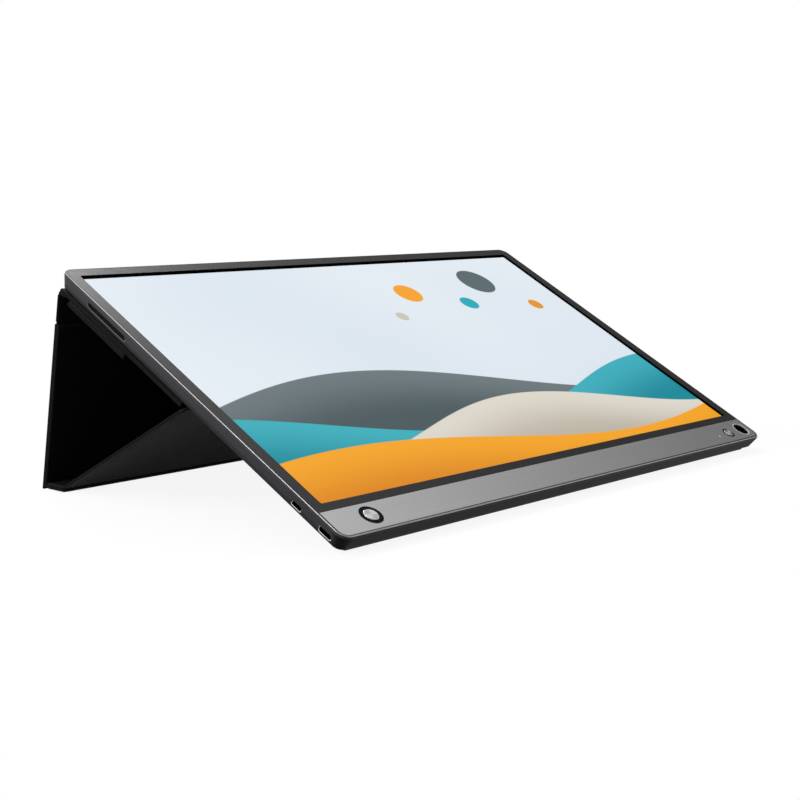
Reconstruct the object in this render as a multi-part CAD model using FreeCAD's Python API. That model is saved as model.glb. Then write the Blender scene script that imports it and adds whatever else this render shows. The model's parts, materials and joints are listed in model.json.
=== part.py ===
import FreeCAD
import Part
import math
import os

# Portable monitor on its folding cover.
# The monitor is drawn in its own face frame: x to the right, y up the screen from the lower edge,
# z out of the screen with 0 on the front frame. It is then tilted back onto the table.

# Monitor body
tilt = 28.5
body_width = 359.7
body_height = 227.4
body_depth = 9.0
body_corner = 6.0
wall_taper = 2.0
wall = 1.2
back_wall = 1.0
back_round = 1.5
frame_depth = 1.4
trim_width = 1.0
trim_bevel = 0.5
fit_gap = 0.05

# Front frame, chin and display stack
side_border = 7.25
top_border = 7.0
opening_bottom = 24.0
opening_corner = 1.0
chin_height = 18.6
seam = 0.15
glass_lap = 3.0
glass_thick = 0.6
panel_thick = 0.9
backlight_thick = 1.2
support_thick = 0.4
support_margin = 12.0

# Buttons, light and pen hole on the chin
power_x = 26.5
power_y = 10.5
power_ring_d = 12.0
power_cap_d = 7.6
menu_edge = 25.5
menu_y = 8.9
menu_ring_d = 7.8
menu_cap_d = 5.8
light_edge = 36.8
light_y = 8.0
light_d = 1.6
pen_edge = 9.7
pen_y = 9.6
pen_bore = 10.0
pen_rim = 11.5
ring_proud = 0.1
cap_proud = 0.3
cap_depth = 1.1
cap_gap = 0.2
button_travel = 0.5
stem_d = 3.0
stem_end = 3.4
switch_size = 6.0
switch_gap = 0.1

# Sockets and speaker slots in the side walls
port_z = -5.8
usb_y = 11.7
usb_width = 9.0
usb_height = 3.2
usb_corner = 1.55
hdmi_y = 31.7
hdmi_width = 6.9
hdmi_height = 3.0
hdmi_corner = 0.7
port_wall = 0.35
port_depth = 7.4
tongue_share = 0.75
tongue_thick = 0.7
slot_drop = 43.2
slot_length = 32.5
slot_height = 2.4
slot_z = -4.6
mesh_thick = 0.6
mesh_sink = 0.4

# Inner modules
board_thick = 0.6
main_board_size = (112.0, 60.0)
main_board_edge = (8.0, 5.0)
shield_size = (46.0, 30.0)
shield_height = 1.3
shield_edge = (70.0, 26.0)
key_board_size = (22.0, 10.4)
battery_size = (150.0, 84.0)
battery_thick = 2.6
battery_drop = 18.4
speaker_size = (13.0, 40.0)
speaker_thick = 2.4
ribbon_width = 30.0
ribbon_thick = 0.3
rear_magnet_size = (30.0, 8.0)
rear_magnet_thick = 1.2
magnet_count = 4
strip_start = 3.6
strip_width = 4.0
strip_edge = 9.0

# Cover
cover_inset = 1.0
skin_thick = 0.6
cover_board_thick = 1.4
hem = 3.0
cover_corner = 6.0
plate_drop = 109.4
hinge_inset = 1.6
hinge_drop = 2.8
spine_length = 15.4
foot_back = 7.9
floor_length = 16.1
panel_thick_rear = 3.8
panel_thick_prop = 1.8
fold_gap = 0.7
rest_gap = 0.3
prop_ledge = 2.8
bar_drop = 11.4
bar_length = 51.0
bar_thick = 3.6
bar_magnet_size = (30.0, 10.0)
bar_magnet_thick = 2.0
prop_magnet_size = (24.0, 6.0)
prop_magnet_edge = 8.0

# Values worked out from the sizes above
cover_thick = 2 * skin_thick + cover_board_thick
cover_half = cover_thick / 2
cover_width = body_width - 2 * cover_inset
slope = math.radians(tilt)
back_z = -body_depth
floor_z = back_z + back_wall
glass_z = -frame_depth
panel_z = glass_z - glass_thick
backlight_z = panel_z - panel_thick
support_z = backlight_z - backlight_thick
inner_z = support_z - support_thick
board_top = floor_z + board_thick
left = -body_width / 2
opening_width = body_width - 2 * side_border
opening_height = body_height - opening_bottom - top_border
menu_x = body_width - menu_edge
light_x = body_width - light_edge
pen_x = body_width - pen_edge
slot_y = body_height - slot_drop
battery_y = body_height - battery_drop - battery_size[1]
plate_low = body_height - plate_drop
hinge_y = body_height - hinge_inset
bar_high = body_height - bar_drop
bar_low = bar_high - bar_length
rear_half = panel_thick_rear / 2
prop_half = panel_thick_prop / 2
stack_width = opening_width + 2 * glass_lap
stack_height = opening_height + 2 * glass_lap
stack_y = opening_bottom + opening_height / 2


def face_point(u, v):
    """Face frame (y, z) of a point u behind the lower rear edge and v above the table."""
    y = math.cos(slope) * u + math.sin(slope) * v
    z = -math.sin(slope) * u + math.cos(slope) * v
    return y, z - body_depth


# Fold lines of the cover, as (y, z) in the face frame
top_axis = (hinge_y, back_z - hinge_drop)
foot_axis = face_point(body_height - foot_back, rear_half)
toe_axis = face_point(body_height - foot_back - floor_length, rear_half)
prop_end = (plate_low - prop_ledge, back_z - prop_half - rest_gap)


def turn(start, end):
    """Angle in degrees of the line from start to end in the y, z plane."""
    return math.degrees(math.atan2(end[1] - start[1], end[0] - start[0]))


def reach(start, end):
    """Length of the line from start to end in the y, z plane."""
    return math.hypot(end[0] - start[0], end[1] - start[1])


leg_angle = turn(top_axis, foot_axis)
floor_angle = turn(foot_axis, toe_axis)
prop_angle = turn(toe_axis, prop_end)
leg_length = reach(top_axis, foot_axis) - spine_length
prop_length = reach(toe_axis, prop_end)
spine_axis = (
    top_axis[0] + spine_length * math.cos(math.radians(leg_angle)),
    top_axis[1] + spine_length * math.sin(math.radians(leg_angle)),
)


def vec(x, y, z):
    return FreeCAD.Vector(x, y, z)


def box(x0, x1, y0, y1, z0, z1):
    """Block between two corners."""
    return Part.makeBox(x1 - x0, y1 - y0, z1 - z0, vec(x0, y0, z0))


def disc(x, y, diameter, z0, z1):
    """Round bar that stands on the face, from z0 up to z1."""
    return Part.makeCylinder(diameter / 2, z1 - z0, vec(x, y, z0))


def rounded_wire(width, height, corner, z):
    """Closed outline of a rounded rectangle about the z axis."""
    a = width / 2
    b = height / 2
    c = corner
    k = c * (1 - math.sqrt(0.5))
    arcs = (
        (vec(a - c, -b, z), vec(a - k, -b + k, z), vec(a, -b + c, z)),
        (vec(a, b - c, z), vec(a - k, b - k, z), vec(a - c, b, z)),
        (vec(-a + c, b, z), vec(-a + k, b - k, z), vec(-a, b - c, z)),
        (vec(-a, -b + c, z), vec(-a + k, -b + k, z), vec(-a + c, -b, z)),
    )
    edges = []
    for i, arc in enumerate(arcs):
        edges.append(Part.Arc(*arc).toShape())
        edges.append(Part.makeLine(arc[2], arcs[(i + 1) % 4][0]))
    return Part.Wire(edges)


def rounded_plate(width, height, corner, z0, z1, x=0.0, y=0.0):
    """Plate with rounded corners, centred on x, y."""
    face = Part.Face(rounded_wire(width, height, corner, z0))
    plate = face.extrude(vec(0, 0, z1 - z0))
    plate.translate(vec(x, y, 0))
    return plate


def body_form(inset0, z0, inset1, z1):
    """Body outline drawn in by inset0 at z0 and by inset1 at z1."""
    wires = []
    for inset, z in ((inset0, z0), (inset1, z1)):
        corner = max(body_corner - inset, 1.0)
        wires.append(rounded_wire(body_width - 2 * inset, body_height - 2 * inset, corner, z))
    form = Part.makeLoft(wires, True, True)
    form.translate(vec(0, body_height / 2, 0))
    return form


def side_prism(y, z, width, height, corner, x0, x1):
    """Rounded bar along x, width along y and height along z."""
    bar = rounded_plate(height, width, corner, x0, x1)
    bar.rotate(vec(0, 0, 0), vec(0, 1, 0), 90)
    bar.translate(vec(0, y, z))
    return bar


def wall_inset(z):
    """How far the side wall's outer face has drawn in at depth z."""
    return wall_taper * (-frame_depth - z) / (body_depth - frame_depth)


# Monitor body


def rear_shell():
    """Tray with tapered walls, rounded back edge and openings for sockets, slots and pen hole."""
    form = body_form(0, -frame_depth, wall_taper, back_z)
    back_edges = [e for e in form.Edges if all(abs(v.Z - back_z) < 1e-6 for v in e.Vertexes)]
    form = form.makeFillet(back_round, back_edges)
    form = form.cut(body_form(wall, -frame_depth, wall_taper + wall, floor_z))
    reach_x = wall_taper + 2 * wall
    for y, width, height, corner in (
        (usb_y, usb_width, usb_height, usb_corner),
        (hdmi_y, hdmi_width, hdmi_height, hdmi_corner),
    ):
        hole = side_prism(y, port_z, width + 2 * fit_gap, height + 2 * fit_gap, corner, left, left + reach_x)
        form = form.cut(hole)
    for x0, x1 in ((left, left + reach_x), (-left - reach_x, -left)):
        form = form.cut(side_prism(slot_y, slot_z, slot_length, slot_height, slot_height / 2.01, x0, x1))
    return form.cut(disc(left + pen_x, pen_y, pen_rim + 2 * fit_gap, back_z, 0))


def edge_trim():
    """Bright bevelled rim round the whole front edge."""
    ring = body_form(0, -frame_depth, 0, -trim_bevel)
    ring = ring.fuse(body_form(0, -trim_bevel, trim_bevel, 0)).removeSplitter()
    return ring.cut(body_form(trim_width, -frame_depth, trim_width, 0))


def front_blank():
    """Flat front plate inside the trim, before it is parted into frame and chin."""
    inset = trim_width + fit_gap
    return body_form(inset, -frame_depth, inset, 0)


def front_frame():
    """Dark frame round the screen opening."""
    above = box(left, -left, chin_height + seam, body_height, -frame_depth, 0)
    window = rounded_plate(opening_width, opening_height, opening_corner, -frame_depth, 0, 0, stack_y)
    return front_blank().common(above).cut(window)


def chin_plate():
    """Metal plate along the lower edge, drilled for the buttons, the light and the pen hole."""
    plate = front_blank().common(box(left, -left, 0, chin_height, -frame_depth, 0))
    for x, y, diameter in (
        (power_x, power_y, power_ring_d),
        (menu_x, menu_y, menu_ring_d),
        (light_x, light_y, light_d),
        (pen_x, pen_y, pen_rim),
    ):
        plate = plate.cut(disc(left + x, y, diameter + 2 * fit_gap, -frame_depth, 0))
    return plate


def display_layer(z_top, thick, margin=0.0):
    """One plate of the display stack."""
    return rounded_plate(
        stack_width - 2 * margin, stack_height - 2 * margin, opening_corner, z_top - thick, z_top, 0, stack_y
    )


# Buttons and chin fittings


def button_ring(x, y, ring_d, cap_d):
    """Ring that lines a button's hole in the chin."""
    ring = disc(left + x, y, ring_d, -frame_depth, ring_proud)
    return ring.cut(disc(left + x, y, cap_d + 2 * cap_gap, -frame_depth, ring_proud))


def button_cap(x, y, cap_d):
    """Turned cap with a stem that reaches down to its switch."""
    cap = disc(left + x, y, cap_d, -cap_depth, cap_proud)
    rim = [e for e in cap.Edges if abs(e.BoundBox.ZMin - cap_proud) < 1e-6 and e.BoundBox.ZLength < 1e-6]
    cap = cap.makeChamfer(cap_proud / 2, rim)
    return cap.fuse(disc(left + x, y, stem_d, -stem_end, -cap_depth)).removeSplitter()


def button_switch(x, y):
    """Push switch that stands on its board under a button."""
    half = switch_size / 2
    top = -stem_end - button_travel - switch_gap
    cx = left + x
    return box(cx - half, cx + half, y - half, y + half, board_top, top)


def pen_bush():
    """Metal tube that lines the pen hole from face to back."""
    return disc(left + pen_x, pen_y, pen_rim, back_z, 0).cut(disc(left + pen_x, pen_y, pen_bore, back_z, 0))


def status_light():
    """Light pipe in the chin."""
    return disc(left + light_x, light_y, light_d, -frame_depth, 0)


# Sockets, speakers and inner modules


def socket(y, width, height, corner):
    """Metal shell of a socket with a tongue standing on its rear wall."""
    x0 = left + wall_inset(port_z) + mesh_sink
    x1 = x0 + port_depth
    shell = side_prism(y, port_z, width, height, corner, x0, x1)
    hollow = side_prism(
        y, port_z, width - 2 * port_wall, height - 2 * port_wall, corner - port_wall, x0, x1 - port_wall
    )
    half = width * tongue_share / 2
    tongue = box(
        x0 + port_depth / 3, x1, y - half, y + half, port_z - tongue_thick / 2, port_z + tongue_thick / 2
    )
    return shell.cut(hollow).fuse(tongue).removeSplitter()


def speaker_mesh(side):
    """Pill of fine mesh set in a side slot, side -1 on the left and 1 on the right."""
    outer = -left - wall_inset(slot_z) - mesh_sink
    x0, x1 = sorted((side * outer, side * (outer - mesh_thick)))
    length = slot_length - 2 * fit_gap
    height = slot_height - 2 * fit_gap
    return side_prism(slot_y, slot_z, length, height, height / 2.01, x0, x1)


def speaker(side):
    """Flat speaker box on the shell's floor behind its slot."""
    outer = -left - wall_taper - wall - fit_gap
    x0, x1 = sorted((side * outer, side * (outer - speaker_size[0])))
    half = speaker_size[1] / 2
    return box(x0, x1, slot_y - half, slot_y + half, floor_z, floor_z + speaker_thick)


def main_board():
    """Board along the lower left that carries the sockets and the power switch."""
    x0 = left + main_board_edge[0] - port_depth / 2
    y0 = main_board_edge[1]
    return box(x0, x0 + main_board_size[0], y0, y0 + main_board_size[1], floor_z, board_top)


def board_shield():
    """Pressed can over the main board's chips."""
    x0 = left + shield_edge[0] - shield_size[0] / 2
    y0 = shield_edge[1]
    return box(x0, x0 + shield_size[0], y0, y0 + shield_size[1], board_top, board_top + shield_height)


def key_board():
    """Small board under the menu button and the status light."""
    x0 = left + menu_x + switch_size - key_board_size[0]
    y0 = menu_y - key_board_size[1] / 2
    return box(x0, x0 + key_board_size[0], y0, y0 + key_board_size[1], floor_z, board_top)


def battery_pack():
    """Flat cells on the floor of the shell."""
    half = battery_size[0] / 2
    return box(-half, half, battery_y, battery_y + battery_size[1], floor_z, floor_z + battery_thick)


def panel_ribbon():
    """Flat ribbon from the display stack down to the main board."""
    x0 = left + shield_edge[0]
    y0 = shield_edge[1] + shield_size[1] + hem
    return box(x0, x0 + ribbon_width, y0, y0 + ribbon_thick, board_top, inner_z)


def magnet_row(size, y, z0, z1):
    """Row of flat magnets along x, centred on y."""
    bars = []
    pitch = body_width / (magnet_count + 0.5)
    for i in range(magnet_count):
        x = (i - (magnet_count - 1) / 2) * pitch
        bars.append(box(x - size[0] / 2, x + size[0] / 2, y - size[1] / 2, y + size[1] / 2, z0, z1))
    return Part.makeCompound(bars)


def rear_magnets():
    """Magnets on the shell's floor above the battery, which hold the closed cover."""
    middle = body_height - battery_drop / 2
    return magnet_row(rear_magnet_size, middle, floor_z, floor_z + rear_magnet_thick)


def rubber_strip():
    """Wedge strip that rests flat on the table under the lower rear edge."""
    drop = math.tan(slope)
    near = strip_start
    far = strip_start + strip_width
    x0 = left + strip_edge
    corners = []
    for y, depth in ((near, 0), (far, 0), (far, 1), (near, 1)):
        corners.append(vec(x0, y, back_z - depth * drop * y))
    outline = Part.makePolygon(corners + corners[:1])
    return Part.Face(outline).extrude(vec(-2 * x0, 0, 0))


# Cover panels


def panel_blank(start, length, thick, corner=0.0):
    """Panel along y from start to a rounded edge whose centre is at length, z across its thickness."""
    half_x = cover_width / 2
    blank = box(-half_x, half_x, start, length, -thick / 2, thick / 2)
    nose = Part.makeCylinder(thick / 2, cover_width, vec(-half_x, length, 0), vec(1, 0, 0))
    blank = blank.fuse(nose).removeSplitter()
    if corner:
        end = length + thick / 2
        plan = rounded_plate(cover_width, 2 * end, corner, -thick, thick)
        blank = blank.common(plan)
    return blank


def sandwich(blank, start, length, thick):
    """Outer skin, stiffener board and lining cut from one panel."""
    half_x = cover_width / 2
    skin_top = -thick / 2 + skin_thick
    below = box(-half_x, half_x, start - thick, length + thick, -thick, skin_top)
    core_top = thick / 2 - skin_thick
    core = box(-half_x + hem, half_x - hem, start + skin_thick, length - skin_thick, skin_top, core_top)
    return blank.common(below), core, blank.cut(below).cut(core)


def laid(shape, axis, angle):
    """Panel moved from its own frame to its fold line at axis, turned to angle."""
    placed = shape.copy()
    placed.rotate(vec(0, 0, 0), vec(1, 0, 0), angle)
    placed.translate(vec(0, axis[0], axis[1]))
    return placed


def back_panel():
    """Plate that clings to the monitor's back, with the hinge bead of the cover along its top."""
    end = hinge_y - plate_low
    blank = panel_blank(0, end - cover_half, cover_thick)
    skin, core, lining = sandwich(blank, 0, end - cover_half, cover_thick)
    half_x = cover_width / 2
    start = vec(-half_x, end, cover_half - hinge_drop)
    bead = Part.makeCylinder(cover_half, cover_width, start, vec(1, 0, 0))
    web = box(-half_x, half_x, end - cover_thick, end, -cover_half, -cover_half + skin_thick)
    skin = skin.fuse(web).fuse(bead).removeSplitter()
    lining = lining.cut(skin)
    axis = (plate_low, back_z - cover_half)
    return [laid(s, axis, 0) for s in (skin, core, lining)]


def magnet_bar():
    """Pill-ended bar on the back plate, hollowed for its magnets."""
    low = back_z - cover_thick - bar_thick
    length = bar_high - bar_low
    bar = side_prism(bar_low + length / 2, low + bar_thick / 2, length, bar_thick, bar_thick / 2.01,
                     -cover_width / 2, cover_width / 2)
    return bar.cut(bar_magnets())


def bar_magnets():
    """Magnets let into the bar, against the back plate."""
    top = back_z - cover_thick
    return magnet_row(bar_magnet_size, (bar_low + bar_high) / 2, top - bar_magnet_thick, top)


def spine():
    """Thin flexible strip between the back plate and the leg: outer skin and lining, no board."""
    blank = panel_blank(cover_half + fold_gap, spine_length, 2 * skin_thick)
    below = box(-cover_width / 2, cover_width / 2, 0, spine_length + cover_thick, -cover_thick, 0)
    return [laid(s, top_axis, leg_angle) for s in (blank.common(below), blank.cut(below))]


def leg():
    """Rear panel that stands the monitor up."""
    start = cover_half + fold_gap
    blank = panel_blank(start, leg_length, panel_thick_rear)
    layers = sandwich(blank, start, leg_length, panel_thick_rear)
    return [laid(s, spine_axis, leg_angle) for s in layers]


def floor_panel():
    """Narrow panel that lies flat on the table between leg and prop."""
    start = rear_half + fold_gap
    blank = panel_blank(start, floor_length, panel_thick_rear)
    layers = sandwich(blank, start, floor_length, panel_thick_rear)
    return [laid(s, foot_axis, floor_angle) for s in layers]


def prop():
    """Panel with rounded free corners that leans up to the monitor's back, with magnets at its edge."""
    start = rear_half + fold_gap
    blank = panel_blank(start, prop_length, panel_thick_prop, cover_corner)
    skin, core, lining = sandwich(blank, start, prop_length, panel_thick_prop)
    top = prop_half - skin_thick
    magnets = magnet_row(prop_magnet_size, prop_length - prop_magnet_edge, -top, top)
    return [laid(s, toe_axis, prop_angle) for s in (skin, core.cut(magnets), lining, magnets)]


def all_pieces():
    """Every piece by node name, in the face frame."""
    pieces = {
        "rear_shell": rear_shell(),
        "edge_trim": edge_trim(),
        "front_frame": front_frame(),
        "chin_plate": chin_plate(),
        "touch_glass": display_layer(glass_z, glass_thick),
        "lcd_panel": display_layer(panel_z, panel_thick),
        "backlight_module": display_layer(backlight_z, backlight_thick),
        "support_plate": display_layer(support_z, support_thick, support_margin),
        "power_button_ring": button_ring(power_x, power_y, power_ring_d, power_cap_d),
        "power_button_cap": button_cap(power_x, power_y, power_cap_d),
        "power_switch": button_switch(power_x, power_y),
        "menu_button_ring": button_ring(menu_x, menu_y, menu_ring_d, menu_cap_d),
        "menu_button_cap": button_cap(menu_x, menu_y, menu_cap_d),
        "menu_switch": button_switch(menu_x, menu_y),
        "status_light": status_light(),
        "pen_bush": pen_bush(),
        "usb_c_socket": socket(usb_y, usb_width, usb_height, usb_corner),
        "hdmi_socket": socket(hdmi_y, hdmi_width, hdmi_height, hdmi_corner),
        "speaker_mesh_left": speaker_mesh(-1),
        "speaker_mesh_right": speaker_mesh(1),
        "speaker_left": speaker(-1),
        "speaker_right": speaker(1),
        "main_board": main_board(),
        "board_shield": board_shield(),
        "key_board": key_board(),
        "battery_pack": battery_pack(),
        "panel_ribbon": panel_ribbon(),
        "rear_magnets": rear_magnets(),
        "rubber_strip": rubber_strip(),
        "cover_magnet_bar": magnet_bar(),
        "cover_bar_magnets": bar_magnets(),
    }
    names = ("skin", "board", "lining", "magnets")
    for panel, layers in (("back", back_panel()), ("leg", leg()), ("floor", floor_panel()), ("prop", prop())):
        for name, layer in zip(names, layers):
            pieces[f"cover_{panel}_{name}"] = layer
    for name, layer in zip(("skin", "lining"), spine()):
        pieces[f"cover_spine_{name}"] = layer
    return pieces


def stand(shape, shift=0.0):
    """Tilt a piece from the face frame back onto the table and move it forward by shift."""
    placed = shape.copy()
    placed.translate(vec(0, 0, body_depth))
    placed.rotate(vec(0, 0, 0), vec(1, 0, 0), tilt)
    placed.translate(vec(0, -shift, 0))
    return placed


def middle_shift(pieces):
    """Distance from the lower rear edge to the middle of the whole part, front to back."""
    whole = Part.makeCompound([stand(s) for s in pieces.values()]).BoundBox
    return (whole.YMin + whole.YMax) / 2


def main():
    os.makedirs("parts", exist_ok=True)
    pieces = all_pieces()
    shift = middle_shift(pieces)
    for name, shape in pieces.items():
        stand(shape, shift).exportStep(f"parts/{name}.step")


if __name__ == "__main__":
    main()
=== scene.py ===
import bpy
import json
import math
from mathutils import Matrix, Vector


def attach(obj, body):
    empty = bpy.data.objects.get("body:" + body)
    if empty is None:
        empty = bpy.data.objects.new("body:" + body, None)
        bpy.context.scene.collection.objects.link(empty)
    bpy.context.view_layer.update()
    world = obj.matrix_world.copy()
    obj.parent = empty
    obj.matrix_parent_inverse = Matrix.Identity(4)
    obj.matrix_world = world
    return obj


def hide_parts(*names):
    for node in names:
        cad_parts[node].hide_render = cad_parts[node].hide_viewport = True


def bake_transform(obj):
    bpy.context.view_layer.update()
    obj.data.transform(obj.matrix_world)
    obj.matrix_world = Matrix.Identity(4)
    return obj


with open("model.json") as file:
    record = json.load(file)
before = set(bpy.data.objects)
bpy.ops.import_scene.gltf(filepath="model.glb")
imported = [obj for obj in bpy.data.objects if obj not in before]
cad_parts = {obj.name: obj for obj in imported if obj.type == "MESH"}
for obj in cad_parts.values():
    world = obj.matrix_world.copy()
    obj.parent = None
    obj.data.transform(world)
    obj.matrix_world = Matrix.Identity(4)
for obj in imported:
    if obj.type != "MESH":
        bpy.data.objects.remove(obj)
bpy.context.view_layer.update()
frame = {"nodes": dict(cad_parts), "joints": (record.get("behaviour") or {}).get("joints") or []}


# Rear shell: a moulded tray of satin dark plastic with tapered walls, which holds every other piece of
# the monitor. Its colour drifts a little and its surface has the fine grain of an etched mould. Painted
# shade darkens its walls towards the back edge and along the lower edge, and blackens the inside of the
# speaker slot.

folds = {j["name"]: Vector(j["pos_m"]) for j in frame["joints"] if j["type"] == "hinge"}
face_tilt = math.radians(28.5)
body_depth = 0.009
hinge_up = 0.2258
hinge_out = -0.0118
face_reach = (
    math.cos(face_tilt) * hinge_up - math.sin(face_tilt) * (hinge_out + body_depth) - folds["cover_swing"].y
)


class Wire:
    """A shader socket. Sums, products and comparisons of wires add Math nodes to their material."""

    def __init__(self, socket):
        self.socket = socket
        self.tree = socket.id_data

    def make(self, kind, settings=None, values=None, out=0):
        """New node of that kind: settings first, then socket values or links. Returns one output."""
        node = self.tree.nodes.new(kind)
        for name, value in (settings or {}).items():
            setattr(node, name, value)
        for name, value in (values or {}).items():
            if isinstance(value, Wire):
                self.tree.links.new(value.socket, node.inputs[name])
            else:
                node.inputs[name].default_value = value
        return Wire(node.outputs[out])

    def maths(self, operation, *terms):
        """Math node on these terms, which are numbers or wires."""
        return self.make("ShaderNodeMath", {"operation": operation}, dict(enumerate(terms)))

    def __add__(self, other):
        return self.maths("ADD", self, other)

    def __sub__(self, other):
        return self.maths("SUBTRACT", self, other)

    def __rsub__(self, other):
        return self.maths("SUBTRACT", other, self)

    def __mul__(self, other):
        return self.maths("MULTIPLY", self, other)

    def __truediv__(self, other):
        return self.maths("DIVIDE", self, other)

    def __lt__(self, other):
        return self.maths("LESS_THAN", self, other)

    def __gt__(self, other):
        return self.maths("GREATER_THAN", self, other)

    __radd__ = __add__
    __rmul__ = __mul__

    def sine(self):
        """Sine of this angle."""
        return self.maths("SINE", self)

    def root(self):
        """Square root."""
        return self.maths("SQRT", self)

    def size(self):
        """Value without its sign."""
        return self.maths("ABSOLUTE", self)

    def at_least(self, other):
        """The larger of the two."""
        return self.maths("MAXIMUM", self, other)

    def step(self, low, high):
        """0 below low, 1 above high and a smooth rise between."""
        return self.make(
            "ShaderNodeMapRange",
            {"interpolation_type": "SMOOTHSTEP"},
            {"Value": self, "From Min": low, "From Max": high},
        )

    def parts(self):
        """The x, y and z of a vector."""
        split = self.make("ShaderNodeSeparateXYZ", None, {"Vector": self}).socket.node
        return [Wire(s) for s in split.outputs]

    def noise(self, scale, detail):
        """Cloudy noise from 0 to 1 at this place."""
        return self.make("ShaderNodeTexNoise", None, {"Vector": self, "Scale": scale, "Detail": detail})

    def blend(self, low, high):
        """Colour between two colours, by this factor."""
        low, high = (c if isinstance(c, Wire) else (*c, 1) for c in (low, high))
        return self.make("ShaderNodeMix", {"data_type": "RGBA"}, {0: self, 6: low, 7: high}, 2)


class Finish:
    """A material with one principled shader, and the places on the object that its patterns read."""

    def __init__(self, name, **fixed):
        self.material = bpy.data.materials.new(name)
        self.material.use_nodes = True
        self.shader = self.material.node_tree.nodes["Principled BSDF"]
        for socket, value in fixed.items():
            self.shader.inputs[socket.replace("_", " ")].default_value = value
        self.place = Wire(self.shader.outputs[0]).make("ShaderNodeTexCoord", out="Object")

    def feed(self, **wires):
        """Link wires to the shader's sockets."""
        for socket, wire in wires.items():
            target = self.shader.inputs[socket.replace("_", " ")]
            self.material.node_tree.links.new(wire.socket, target)

    def bumps(self, height, depth):
        """Surface relief of that depth in metres from a height of 0 to 1."""
        relief = {"Height": height, "Distance": depth, "Strength": 1.0}
        self.feed(Normal=height.make("ShaderNodeBump", None, relief))

    def face(self):
        """Place in the monitor's face frame: x from its middle, y up from its lower edge, z out of it."""
        back = math.cos(face_tilt) * face_reach, -math.sin(face_tilt) * face_reach - body_depth
        return self.place.make(
            "ShaderNodeMapping",
            None,
            {"Vector": self.place, "Rotation": (-face_tilt, 0, 0), "Location": (0, *back)},
        )

    def dress(self, *nodes):
        """Give this finish to CAD nodes."""
        for node in nodes:
            slots = frame["nodes"][node].data.materials
            slots.clear()
            slots.append(self.material)


slot_middle = 0.1842
slot_level = -0.0046
slot_half_run = 0.01505
slot_radius = 0.0016
lip_radius = 0.002
lip_share = 0.5
back_shade_range = -0.0086, -0.0042
low_shade_range = 0.003, 0.009
wall_dark = 0.036, 0.036, 0.039
wall_pale = 0.048, 0.048, 0.052
back_painted_shade = 0.016, 0.016, 0.017
low_painted_shade = 0.005, 0.005, 0.0055
lip_grey = 0.3, 0.3, 0.31
slot_painted_shade = 0.003, 0.003, 0.003

shell_plastic = Finish("shell_plastic", IOR=1.46, Specular_IOR_Level=0.04)
grain = shell_plastic.place.noise(5200, 2)
cloud = shell_plastic.place.noise(14, 3)
_, wall_y, wall_z = shell_plastic.face().parts()
slot_y = wall_y - slot_middle
slot_z = wall_z - slot_level
past_run = (slot_y.size() - slot_half_run).at_least(0.0)
from_slot = (past_run * past_run + slot_z * slot_z).root()
slot_lip = (from_slot < lip_radius) * (slot_z < 0.0)
slot_inside_shade = from_slot < slot_radius
wall_tone = cloud.blend(wall_dark, wall_pale)
# painted shade: the walls darken towards the back edge and along the lower edge
back_shaded_tone = wall_z.step(*back_shade_range).blend(back_painted_shade, wall_tone)
low_shaded_tone = wall_y.step(*low_shade_range).blend(low_painted_shade, back_shaded_tone)
lip_tone = (slot_lip * lip_share).blend(low_shaded_tone, lip_grey)
# painted shade: the inside of the speaker slot is coloured black
shell_plastic.feed(Base_Color=slot_inside_shade.blend(lip_tone, slot_painted_shade))
shell_plastic.feed(Roughness=0.45 + 0.1 * grain)
shell_plastic.bumps(grain, 0.00002)
shell_plastic.dress("rear_shell")


# Edge trim: a thin metal rim, cut with a diamond tool after it is fixed round the front edge, so its
# bevel is a bright line with fine cutting marks.

wall_edge = -0.00026, -0.0002
front_edge = -0.00006, -0.00001
low_edge = 0.003, 0.006
trim_dark = 0.045, 0.045, 0.048
cut_dull = 0.4, 0.4, 0.42
cut_bright = 0.55, 0.55, 0.57

trim_metal = Finish("trim_metal", Specular_IOR_Level=0.08)
cuts = trim_metal.place.noise(900, 3)
_, rim_y, rim_z = trim_metal.face().parts()
past_wall = rim_z.step(*wall_edge)
side_face = past_wall * (1 - rim_z.step(*front_edge))
low_face = past_wall * (1 - rim_y.step(*low_edge))
cut_face = side_face.at_least(low_face)
trim_metal.feed(Base_Color=cut_face.blend(trim_dark, cuts.blend(cut_dull, cut_bright)))
trim_metal.feed(Roughness=0.42 - 0.12 * cut_face + 0.1 * cuts)
trim_metal.feed(Metallic=cut_face)
trim_metal.dress("edge_trim")


# Front frame: dark moulded plastic round the screen opening, with a close mineral grain that catches
# the light as tiny specks. The step down to the glass is painted black as shade, with no sheen.

step_edge = -0.00015, -0.00005
speck_range = 0.35, 0.75
frame_dark = 0.011, 0.011, 0.012
frame_speck = 0.024, 0.024, 0.026
step_painted_shade = 0.001, 0.001, 0.001

frame_plastic = Finish("frame_plastic", IOR=1.45, Specular_IOR_Level=0.4)
speck = frame_plastic.place.noise(2600, 4)
front_tone = speck.step(*speck_range).blend(frame_dark, frame_speck)
step_wall = 1 - frame_plastic.face().parts()[2].step(*step_edge)
# painted shade: the step wall down to the glass is coloured black, with no sheen
frame_plastic.feed(Base_Color=step_wall.blend(front_tone, step_painted_shade))
frame_plastic.feed(Roughness=0.36 + 0.1 * speck + 0.4 * step_wall)
frame_plastic.feed(Metallic=step_wall)
frame_plastic.bumps(speck, 0.00003)
frame_plastic.dress("front_frame")


# Chin plate: sheet aluminium, brushed along its length and lightly lacquered. The strokes run from side
# to side, so they are drawn long in x and very short across. A dark line of painted shade, standing in
# for a groove, follows its outer edge.

half_width = 0.17985
body_corner = 0.006
groove_shade_edge = 0.0014, 0.0018
stroke_scale = 12.0, 2600.0, 2600.0
stroke_range = 0.2, 0.8
brush_dull = 0.8, 0.8, 0.81
brush_bright = 0.88, 0.88, 0.89
groove_painted_shade = 0.13, 0.13, 0.135

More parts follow.
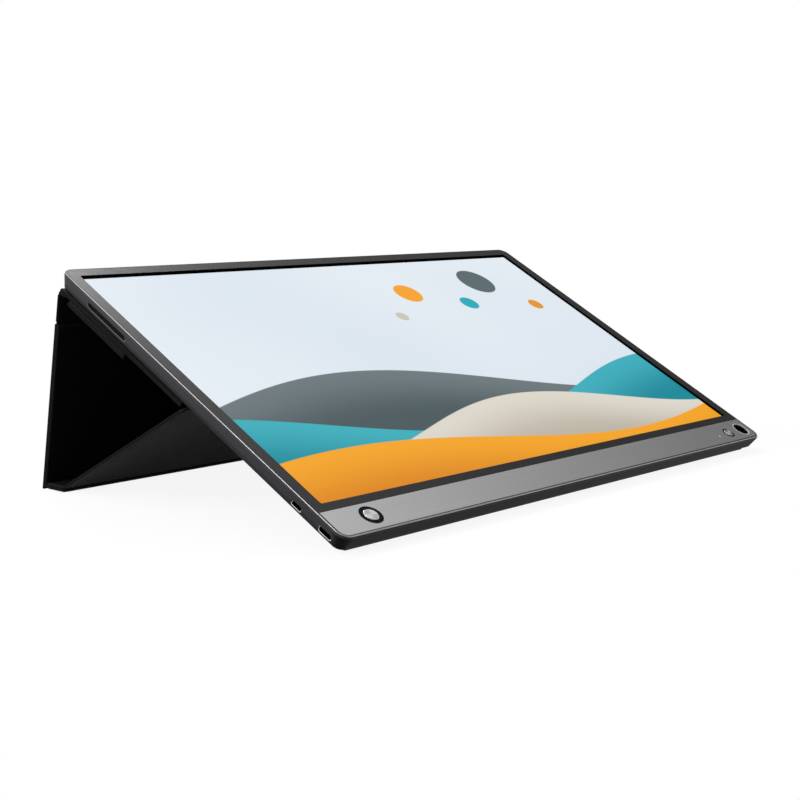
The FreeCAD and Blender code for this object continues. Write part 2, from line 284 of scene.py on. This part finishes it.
chin_metal = Finish("chin_metal", Metallic=1.0)
brush_place = chin_metal.face()
brush = brush_place.make("ShaderNodeMapping", None, {"Vector": brush_place, "Scale": stroke_scale})
stroke = brush.noise(1.0, 4)
chin_x, chin_y, _ = brush_place.parts()
past_side = (chin_x.size() - (half_width - body_corner)).at_least(0.0)
past_low = (body_corner - chin_y).at_least(0.0)
from_edge = body_corner - (past_side * past_side + past_low * past_low).root()
groove_shade = 1 - from_edge.step(*groove_shade_edge)
brushed = stroke.step(*stroke_range).blend(brush_dull, brush_bright)
# painted shade: a dark line along the outer edge, in place of a groove
chin_metal.feed(Base_Color=groove_shade.blend(brushed, groove_painted_shade))
chin_metal.feed(Roughness=0.27 + 0.06 * stroke)
chin_metal.bumps(stroke, 0.000004)
chin_metal.dress("chin_plate")


# Touch glass and lit panel: one clear sheet bonded over the panel, black-printed round its edge. The
# picture on it is a plain design of soft waves and discs in the panel's pale light.

screen_width = 0.3442
screen_height = 0.1936
screen_low = 0.0254
screen_shape = 1.778
soft_edge = 0.002
wave_depth = 0.22
glow_range = 0.3, 0.7
sky_cool = 0.7, 0.775, 0.85
sky_pale = 0.79, 0.845, 0.9
unlit = 0.0, 0.0, 0.0
edge_print = 0.002, 0.002, 0.002
panel_dark = 0.004, 0.004, 0.005
# level, swell, pace and start of each wave, and its colours deep down and at its crest
waves = (
    (0.34, 0.13, 4.6, 0.4, (0.07, 0.1, 0.11), (0.15, 0.19, 0.2)),
    (0.26, 0.11, 5.4, 2.3, (0.01, 0.25, 0.32), (0.05, 0.42, 0.5)),
    (0.18, 0.09, 6.2, 4.4, (0.5, 0.45, 0.37), (0.72, 0.68, 0.6)),
    (0.1, 0.07, 5.0, 0.9, (0.68, 0.22, 0.01), (0.9, 0.38, 0.02)),
)
# middle, radius and colour of each disc
discs = (
    (0.62, 0.82, 0.05, (0.92, 0.36, 0.025)),
    (0.74, 0.74, 0.034, (0.02, 0.4, 0.49)),
    (0.83, 0.86, 0.07, (0.1, 0.14, 0.15)),
    (0.91, 0.7, 0.028, (0.8, 0.3, 0.02)),
    (0.54, 0.7, 0.022, (0.6, 0.55, 0.46)),
)

glass = Finish("lit_glass", Roughness=0.1, IOR=1.4, Specular_IOR_Level=0.1, Emission_Strength=1.0)
glass_x, glass_y, _ = glass.face().parts()
across = glass_x / screen_width + 0.5
up = (glass_y - screen_low) / screen_height
glow = glass.face().noise(4.0, 1)
picture = glow.step(*glow_range).blend(sky_cool, sky_pale)
for level, swell, pace, start, deep, crest in waves:
    below_crest = level + swell * (across * pace + start).sine() - up
    shade = below_crest.step(0.0, wave_depth).blend(crest, deep)
    picture = below_crest.step(-soft_edge, soft_edge).blend(picture, shade)
for middle_x, middle_y, radius, colour in discs:
    off_x = (across - middle_x) * screen_shape
    off_y = up - middle_y
    far = (off_x * off_x + off_y * off_y).root()
    picture = far.step(radius - soft_edge, radius + soft_edge).blend(colour, picture)
lit = (glass_x.size() < screen_width / 2) * (up > 0.0) * (up < 1.0)
glass.feed(Base_Color=lit.blend(edge_print, panel_dark))
glass.feed(Emission_Color=lit.blend(unlit, picture))
glass.dress("touch_glass")


# Button rings: collars of glossy black plastic, pressed into the chin round the power and menu buttons.
# Polishing leaves faint swirls in them.

ring_black = 0.004, 0.004, 0.004
ring_swirl = 0.009, 0.009, 0.01

ring_gloss = Finish("ring_gloss", IOR=1.45, Specular_IOR_Level=0.05)
swirl = ring_gloss.place.noise(700, 2)
ring_gloss.feed(Base_Color=swirl.blend(ring_black, ring_swirl))
ring_gloss.feed(Roughness=0.08 + 0.1 * swirl)
ring_gloss.dress("power_button_ring", "menu_button_ring")


# Button caps: turned steel, faced on a lathe, so the tool leaves fine circles, and two fans of painted
# highlight lie across each cap in its colour.

power_spot = 0.0265 - half_width, 0.0105
menu_spot = 0.3342 - half_width, 0.0089
power_shade = 0.68
menu_shade = 0.4
highlight_turn = 0.6
highlight_range = 0.3, 0.8
highlight_bright = 0.98, 0.98, 0.99
groove_pace = 26000.0


def spun_steel(name, middle_x, middle_y, shade):
    """Lathe-turned metal with its circles about that place on the face, and two painted highlight fans."""
    steel = Finish(name, Metallic=0.6)
    cap_x, cap_y, _ = steel.face().parts()
    off_x = cap_x - middle_x
    off_y = cap_y - middle_y
    far = (off_x * off_x + off_y * off_y).root()
    angle = off_y.maths("ARCTAN2", off_y, off_x)
    fan_highlight = (angle * 2.0 + highlight_turn).sine() * 0.5 + 0.5
    groove = (far * groove_pace).sine() * 0.5 + 0.5
    # painted highlight: two bright fans across the cap
    steel.feed(Base_Color=fan_highlight.step(*highlight_range).blend((shade, shade, shade), highlight_bright))
    steel.feed(Roughness=0.22 + 0.12 * groove)
    steel.bumps(groove, 0.000006)
    return steel


spun_steel("power_cap_steel", *power_spot, power_shade).dress("power_button_cap")
spun_steel("menu_cap_steel", *menu_spot, menu_shade).dress("menu_button_cap")


# Status light: a small pipe of milky plastic, pushed into the chin from behind and flush with it. It
# glows faintly.

milk_dull = 0.45, 0.45, 0.46
milk_pale = 0.6, 0.6, 0.61
light_low = 0.5, 0.5, 0.5
light_high = 0.7, 0.7, 0.7

milk = Finish("milky_light", Roughness=0.3, IOR=1.45, Emission_Strength=0.15)
haze = milk.place.noise(3000, 2)
milk.feed(Base_Color=haze.blend(milk_dull, milk_pale))
milk.feed(Emission_Color=haze.blend(light_low, light_high))
milk.dress("status_light")


# Pen bush: a metal tube through the lower right corner, which parks a stylus pen. Its inside is painted
# black as shade, and its rim is cut bright, with a painted highlight in its pale colour.

rim_edge = -0.0009, -0.0003
tube_painted_shade = 0.003, 0.003, 0.003
rim_cut_and_highlight = 0.9, 0.9, 0.91

pen_metal = Finish("pen_metal", Metallic=0.4, Specular_IOR_Level=0.1)
rim = pen_metal.face().parts()[2].step(*rim_edge)
scratch = pen_metal.place.noise(1500, 3)
# painted shade inside the tube; the pale rim is cut metal and a painted highlight
pen_metal.feed(Base_Color=rim.blend(tube_painted_shade, rim_cut_and_highlight))
pen_metal.feed(Roughness=0.55 - 0.35 * rim + 0.1 * scratch)
pen_metal.dress("pen_bush")


# Sockets: drawn steel shells with bright lips in the left wall. Past the lip their colour is painted dark
# as the shade inside them, and each tongue is black moulding.

mouth_edge = -0.1776, -0.1781
socket_painted_shade = 0.012, 0.012, 0.012
lip_bright = 0.72, 0.72, 0.74

port_steel = Finish("port_steel", Metallic=1.0)
lip = port_steel.place.parts()[0].step(*mouth_edge)
wear = port_steel.place.noise(1800, 3)
# painted shade: everything past the lip is coloured dark
port_steel.feed(Base_Color=lip.blend(socket_painted_shade, lip_bright))
port_steel.feed(Roughness=0.5 - 0.28 * lip + 0.1 * wear)
port_steel.dress("usb_c_socket", "hdmi_socket")


# Speaker meshes: thin steel sheet, pierced in rows and painted black. They are set back in the slots of
# both side walls.

hole_scale = 1400.0
hole_edge = 0.3, 0.42
hole_black = 0.0005, 0.0005, 0.0005
mesh_paint = 0.005, 0.005, 0.0055

mesh_black = Finish("mesh_black", Specular_IOR_Level=0.03)
wall_place = mesh_black.face()
rows_of_holes = {"Vector": wall_place, "Scale": hole_scale, "Randomness": 0.0}
holes = wall_place.make("ShaderNodeTexVoronoi", {"feature": "F1"}, rows_of_holes)
between = holes.step(*hole_edge)
mesh_black.feed(Base_Color=between.blend(hole_black, mesh_paint))
mesh_black.feed(Roughness=0.7 - 0.25 * between)
mesh_black.dress("speaker_mesh_left", "speaker_mesh_right")


# Rubber strip: a black moulded wedge, glued under the lower rear edge so that the monitor doesn't slide.
# Its skin is finely pebbled.

rubber_dark = 0.012, 0.012, 0.012
rubber_pale = 0.022, 0.022, 0.023

foot_rubber = Finish("foot_rubber", IOR=1.5)
pebble = foot_rubber.place.noise(1600, 3)
foot_rubber.feed(Base_Color=pebble.blend(rubber_dark, rubber_pale))
foot_rubber.feed(Roughness=0.7 + 0.2 * pebble)
foot_rubber.bumps(pebble, 0.00004)
foot_rubber.dress("rubber_strip")


# Inner modules: what the closed body hides. Each keeps the plain finish of its kind, with the mottle of
# solder mask, rolled sheet, shrink film or nickel plate.

# finish, its two colours, roughness, metal, scale of the mottle, and the nodes that have it
inner_looks = (
    ("panel_film", (0.5, 0.52, 0.54), (0.62, 0.64, 0.66), 0.3, 0.0, 60, ["lcd_panel", "backlight_module"]),
    ("rolled_sheet", (0.5, 0.5, 0.51), (0.62, 0.62, 0.63), 0.35, 1.0, 240, ["support_plate", "board_shield"]),
    ("solder_mask", (0.008, 0.06, 0.03), (0.02, 0.1, 0.05), 0.4, 0.0, 900, ["main_board", "key_board"]),
    ("cell_film", (0.015, 0.015, 0.016), (0.03, 0.03, 0.032), 0.3, 0.0, 90, ["battery_pack"]),
    (
        "black_moulding",
        (0.018, 0.018, 0.018),
        (0.03, 0.03, 0.03),
        0.5,
        0.0,
        1200,
        ["speaker_left", "speaker_right", "power_switch", "menu_switch"],
    ),
    ("ribbon_film", (0.16, 0.08, 0.02), (0.24, 0.13, 0.04), 0.35, 0.0, 400, ["panel_ribbon"]),
    (
        "nickel_plate",
        (0.52, 0.51, 0.49),
        (0.66, 0.65, 0.62),
        0.25,
        1.0,
        500,
        ["rear_magnets", "cover_bar_magnets", "cover_prop_magnets"],
    ),
    (
        "pressed_board",
        (0.12, 0.12, 0.12),
        (0.2, 0.2, 0.19),
        0.8,
        0.0,
        700,
        ["cover_back_board", "cover_leg_board", "cover_floor_board", "cover_prop_board"],
    ),
)
for name, low, high, rough, metal, scale, nodes in inner_looks:
    inner = Finish(name, Metallic=metal)
    mottle = inner.place.noise(scale, 3)
    inner.feed(Base_Color=mottle.blend(low, high), Roughness=rough + 0.1 * mottle)
    inner.dress(*nodes)


# Cover plate: a stiff board wrapped in a matt near-black skin, which clings to the upper part of the
# monitor's back. A roll of cloth runs along its upper edge, and a raised bar on its outer face holds magnets.

cover_half_width = 0.17885
plate_start = 0.118
plate_end = 0.2245
plate_level = -0.0103
plate_thick = 0.0026
roll_start = -0.0052
roll_end = -0.001
roll_thick = 0.0024
bar_middle = 0.1905
bar_level = -0.0134
bar_reach = 0.0255
bar_thick = 0.0036
edge_share = 0.46
edge_segments = 5
corner_segments = 8
smooth_angle = math.radians(40)
hair = 1e-5
edge_highlight_start = 0.1777, 0.1781
edge_highlight_end = 0.1784, 0.1787
edge_highlight_share = 0.3
skin_dark = 0.003, 0.003, 0.0031
skin_pale = 0.0075, 0.007, 0.0072
edge_highlight_grey = 0.035, 0.034, 0.035

skin = Finish("cover_skin", IOR=1.42, Specular_IOR_Level=0.05)
pore = skin.place.make("ShaderNodeTexVoronoi", {"feature": "F1"}, {"Vector": skin.place, "Scale": 1500.0})
tone = skin.place.noise(30, 3)
from_middle = skin.place.parts()[0].size()
# painted highlight: a lighter band along both side edges of the skin
edge_highlight = from_middle.step(*edge_highlight_start) * (1 - from_middle.step(*edge_highlight_end))
skin.feed(Base_Color=(edge_highlight * edge_highlight_share).blend(tone.blend(skin_dark, skin_pale), edge_highlight_grey))
skin.feed(Roughness=0.62 + 0.15 * pore)
skin.bumps(pore, 0.00005)


def deselect():
    """Leave edit mode with nothing selected."""
    if bpy.context.object and bpy.context.object.mode == "EDIT":
        bpy.ops.object.mode_set(mode="OBJECT")
    bpy.ops.object.select_all(action="DESELECT")


def take(piece):
    """Make this piece the only one selected."""
    deselect()
    piece.select_set(True)
    bpy.context.view_layer.objects.active = piece


def pick(piece, edge_test=None, face_test=None):
    """Select the edges or faces of a piece, in edit mode, whose place passes the test."""
    bpy.ops.object.mode_set(mode="EDIT")
    bpy.ops.mesh.select_mode(type="EDGE" if edge_test else "FACE")
    bpy.ops.mesh.select_all(action="DESELECT")
    bpy.ops.object.mode_set(mode="OBJECT")
    mesh = piece.data
    if edge_test:
        for edge in mesh.edges:
            a, b = (mesh.vertices[i].co for i in edge.vertices)
            edge.select = edge_test(a, b)
    else:
        for face in mesh.polygons:
            face.select = face_test(face)
    bpy.ops.object.mode_set(mode="EDIT")


def place_on(piece, spot, angle):
    """Turn a piece that was made flat about the x axis, and carry it to its spot."""
    piece.rotation_euler = (angle, 0, 0)
    piece.location = spot
    take(piece)
    bpy.ops.object.transform_apply(location=True, rotation=True, scale=True)


def slab(name, start, end, thick, corner=0.0):
    """Wrapped panel lying flat, from start to end along y, with round edges and two rounded corners."""
    deselect()
    bpy.ops.mesh.primitive_cube_add(size=1, location=(0, (start + end) / 2, 0))
    piece = bpy.context.object
    piece.name = name
    piece.scale = (2 * cover_half_width, end - start, thick)
    bpy.ops.object.transform_apply(location=True, rotation=True, scale=True)
    if corner:
        pick(piece, lambda a, b: min(a.y, b.y) > end - hair and abs(a.z - b.z) > thick / 2)
        bpy.ops.mesh.bevel(offset=corner, segments=corner_segments, affect="EDGES")
        bpy.ops.object.mode_set(mode="OBJECT")
    pick(piece, lambda a, b: abs(a.z - b.z) < hair)
    bpy.ops.mesh.bevel(offset=thick * edge_share, segments=edge_segments, affect="EDGES")
    bpy.ops.object.mode_set(mode="OBJECT")
    bpy.ops.object.shade_smooth_by_angle(angle=smooth_angle)
    piece.data.materials.append(skin.material)
    return piece


def on_face(y, z):
    """World place of a point of the monitor's face frame."""
    c, s = math.cos(face_tilt), math.sin(face_tilt)
    return Vector((0, c * y - s * (z + body_depth) - face_reach, s * y + c * (z + body_depth)))


plate = slab("cover_plate", 0, plate_end - plate_start, plate_thick)
place_on(plate, on_face(plate_start, plate_level), face_tilt)
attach(plate, "monitor")
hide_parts("cover_back_skin", "cover_back_lining")

roll = slab("cover_hinge_roll", roll_start, roll_end, roll_thick)
place_on(roll, folds["cover_swing"], face_tilt)
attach(roll, "monitor")

bar = slab("cover_bar", -bar_reach, bar_reach, bar_thick)
place_on(bar, on_face(bar_middle, bar_level), face_tilt)
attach(bar, "monitor")
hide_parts("cover_magnet_bar")


# Folding panels: the spine, the leg, the floor strip and the prop, wrapped in the same skin. Its turned
# edges show as a narrow hem round a dark grey brushed lining, which is glued on and left open at the folds.

top_line = folds["cover_swing"]
spine_line = folds["spine_fold"]
foot_line = folds["foot_fold"]
toe_line = folds["toe_fold"]
spine_length = (spine_line - top_line).length
leg_length = (foot_line - spine_line).length
strip_length = (toe_line - foot_line).length
prop_length = 0.11413
spine_thick = 0.0013
rear_thick = 0.0038
prop_thick = 0.0018
prop_corner = 0.006
prop_lean = math.radians(124.387)
upper_gap = 0.002
lower_gap = 0.0026
hem_width = 0.0022
lining_rise = 0.0001
fibre_range = 0.3, 0.7
lining_dark = 0.056, 0.054, 0.054
lining_pale = 0.076, 0.074, 0.074

lining = Finish("cover_lining", Specular_IOR_Level=0.02, Sheen_Weight=0.05, Sheen_Roughness=0.4)
nap = lining.place.noise(2200, 4)
sweep = lining.place.noise(18, 3)
fibre = sweep * 0.55 + nap * 0.45
lining.feed(Base_Color=fibre.step(*fibre_range).blend(lining_dark, lining_pale))
lining.feed(Roughness=0.78 + 0.16 * nap)
lining.bumps(nap, 0.00006)


def lined(piece, name, hem, thick, free_end):
    """Lining for a flat slab: its upper face, raised, and drawn in by the hem where no fold follows."""
    take(piece)
    bpy.ops.object.duplicate()
    cloth = bpy.context.object
    cloth.name = name
    top = thick / 2
    pick(cloth, face_test=lambda f: f.normal.z > 0.99 and f.center.z > top - hair)
    bpy.ops.mesh.inset(thickness=hem)
    bpy.ops.mesh.select_all(action="INVERT")
    bpy.ops.mesh.delete(type="FACE")
    bpy.ops.object.mode_set(mode="OBJECT")
    places = [vertex.co.y for vertex in cloth.data.vertices]
    for vertex in cloth.data.vertices:
        if vertex.co.y < min(places) + hem:
            vertex.co.y -= hem
        elif not free_end and vertex.co.y > max(places) - hem:
            vertex.co.y += hem
    bpy.ops.object.mode_set(mode="EDIT")
    bpy.ops.mesh.select_all(action="SELECT")
    bpy.ops.mesh.extrude_region_move(TRANSFORM_OT_translate={"value": (0, 0, lining_rise)})
    bpy.ops.mesh.select_all(action="SELECT")
    bpy.ops.mesh.normals_make_consistent(inside=False)
    bpy.ops.object.mode_set(mode="OBJECT")
    bpy.ops.object.shade_smooth_by_angle(angle=smooth_angle)
    cloth.data.materials.clear()
    cloth.data.materials.append(lining.material)
    return cloth


def slant(a, b):
    """Angle about x of the line from a to b."""
    return math.atan2(b.z - a.z, b.y - a.y)


leg_slant = slant(spine_line, foot_line)
strip_slant = slant(foot_line, toe_line)
prop_slant = prop_lean + face_tilt
# name, body, fold line, slant, gap at the fold, length, thickness and corner radius of each panel
panels = (
    ("spine", "spine", top_line, leg_slant, upper_gap, spine_length, spine_thick, 0.0),
    ("leg", "leg", spine_line, leg_slant, upper_gap, leg_length, rear_thick, 0.0),
    ("floor", "floor_strip", foot_line, strip_slant, lower_gap, strip_length, rear_thick, 0.0),
    ("prop", "prop", toe_line, prop_slant, lower_gap, prop_length, prop_thick, prop_corner),
)
for name, body, line, lean, start, length, thick, corner in panels:
    board_thick = thick - 2 * lining_rise
    panel = slab("cover_" + name, start, length + thick / 2, board_thick, corner)
    cloth = lined(panel, "cover_" + name + "_nap", hem_width, board_thick, corner > 0)
    for piece, slot_name, layer in ((panel, "cover_outer", "skin"), (cloth, "cover_inner", "lining")):
        place_on(piece, line, lean)
        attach(piece, body)
        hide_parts("cover_" + name + "_" + layer)


# Fold cloth: at each fold the skin and the lining run on without a board between them, as one thin strip
# that is glued under the panels on both sides and is bent round the fold as it stands.

web_half_width = cover_half_width - 0.0006
web_thick = 0.0009
web_reach = 0.006
web_bend = 0.0007
top_bend = 0.0016
web_give = 0.0012
web_steps = 10
web_columns = 24
lining_side = 0.3


def fold_web(name, line, before, after, bend=web_bend):
    """Strip of cloth through a fold line, from the slant before it to the slant after it."""
    along_a = Vector((0, math.cos(before), math.sin(before)))
    along_b = Vector((0, math.cos(after), math.sin(after)))
    swing = (after - before + math.pi) % (2 * math.pi) - math.pi
    back_off = bend * math.tan(abs(swing) / 2) if swing else web_give
    path = [line - along_a * web_reach]
    for i in range(web_steps + 1):
        share = i / web_steps
        near_a = line - along_a * back_off * (1 - share) ** 2
        path.append(near_a + along_b * back_off * share**2)
    path.append(line + along_b * web_reach)
    deselect()
    bpy.ops.mesh.primitive_grid_add(x_subdivisions=web_columns, y_subdivisions=len(path) - 1, size=2)
    web = bpy.context.object
    web.name = name
    rows = sorted({round(v.co.y, 5) for v in web.data.vertices})
    for vertex in web.data.vertices:
        point = path[rows.index(round(vertex.co.y, 5))]
        vertex.co = (vertex.co.x * web_half_width, point.y, point.z)
    solid = web.modifiers.new("cloth", "SOLIDIFY")
    solid.thickness = web_thick
    solid.offset = 0
    bpy.ops.object.modifier_apply(modifier=solid.name)
    bpy.ops.object.shade_smooth_by_angle(angle=smooth_angle)
    web.data.materials.append(skin.material)
    web.data.materials.append(lining.material)
    for face in web.data.polygons:
        along = along_a if (face.center - line).dot(along_a) < 0 else along_b
        face.material_index = int(face.normal.dot(Vector((0, -along.z, along.y))) > lining_side)
    spread = sum((b - a).length for a, b in zip(path, path[1:]))
    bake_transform(web)


fold_web("cover_top_web", top_line, face_tilt, leg_slant, top_bend)
fold_web("cover_spine_web", spine_line, leg_slant, leg_slant)
fold_web("cover_foot_web", foot_line, leg_slant, strip_slant)
fold_web("cover_toe_web", toe_line, strip_slant, prop_slant)


# Studio: a floor of pale paper, a white surround and three soft lamps. The camera stands where the
# photograph was taken, on the left and a little above the table.

floor_size = 8
floor_shade = 0.15, 0.45
paper_grey = 0.2, 0.2, 0.2
paper_white = 0.9, 0.9, 0.9
backdrop_edge = 0.12, 0.3
dome_base = 0.04
dome_light = 0.6
dome_rise = 0.42, 0.84
rear_light = 1.4
rear_rise = 0.4, 0.6
rear_start = 0.34, 0.6
lamp_aim = Vector((0, 0, 0.05))
# name, place, size and power of each lamp
lamps = (
    ("left_lamp", (-0.6, 0.12, 0.32), 0.5, 3.2),
    ("back_lamp", (0.35, 0.8, 0.85), 0.4, 9.0),
    ("top_lamp", (0.0, 0.0, 1.5), 1.0, 0.8),
)
camera_spot = -0.61059, -0.4303 - face_reach, 0.15159
camera_aim = Vector((0.73131, 0.66807, -0.13737)).normalized()
camera_up = Vector((0.10416, 0.08965, 0.99051))
camera_lens = 65.609


def rays(wire, kind):
    """1 for the rays of that kind, in the wire's own shader, and 0 for others."""
    return wire.make("ShaderNodeLightPath", out="Is " + kind + " Ray")


deselect()
bpy.ops.mesh.primitive_plane_add(size=floor_size, location=(0, 0, 0))
floor = bpy.context.object
floor.name = "studio_floor"
paper = Finish("studio_paper", Roughness=0.9)
floor_x, floor_y, _ = paper.place.parts()
away = (floor_x * floor_x + floor_y * floor_y).root()
seen = rays(away, "Camera").at_least(rays(away, "Glossy")).at_least(rays(away, "Transmission"))
paper.feed(Base_Color=rays(away, "Camera").blend(paper_grey, paper_white))
shaded = seen * (0.9 + 0.1 * away.step(*floor_shade))
white = away.make("ShaderNodeEmission", None, {"Strength": 1.0})
sheet = away.make("ShaderNodeMixShader", None, {0: shaded, 1: Wire(paper.shader.outputs[0]), 2: white})
sheet.tree.links.new(sheet.socket, sheet.tree.nodes["Material Output"].inputs[0])
floor.data.materials.append(paper.material)

world = bpy.data.worlds.new("studio_surround")
bpy.context.scene.world = world
world.use_nodes = True
surround = world.node_tree.nodes["Background"]
surround.inputs["Color"].default_value = (1, 1, 1, 1)
_, depth, sky = Wire(surround.outputs[0]).make("ShaderNodeTexCoord", out="Generated").parts()
mirrored = rays(sky, "Glossy") * (1 - sky.step(*backdrop_edge))
seen = rays(sky, "Camera").at_least(mirrored).at_least(rays(sky, "Transmission"))
rear = depth.step(*rear_start) * sky.step(*rear_rise)
dome = dome_base + dome_light * sky.step(*dome_rise) + rear_light * rear
sky.tree.links.new((dome + seen * (1 - dome)).socket, surround.inputs["Strength"])

for name, spot, size, power in lamps:
    lamp = bpy.data.lights.new(name, "AREA")
    lamp.size = size
    lamp.energy = power
    holder = bpy.data.objects.new(name, lamp)
    holder.location = spot
    holder.rotation_euler = (lamp_aim - Vector(spot)).to_track_quat("-Z", "Y").to_euler()
    bpy.context.scene.collection.objects.link(holder)

camera = bpy.data.cameras.new("photo_camera")
camera.lens = camera_lens
camera.sensor_width = 36
camera.clip_start = 0.01
holder = bpy.data.objects.new("photo_camera", camera)
camera_right = camera_aim.cross(camera_up).normalized()
turn = Matrix((camera_right, camera_right.cross(camera_aim), -camera_aim)).transposed()
holder.matrix_world = Matrix.Translation(camera_spot) @ turn.to_4x4()
bpy.context.scene.collection.objects.link(holder)
bpy.context.scene.camera = holder
bpy.context.scene.view_settings.view_transform = "Standard"
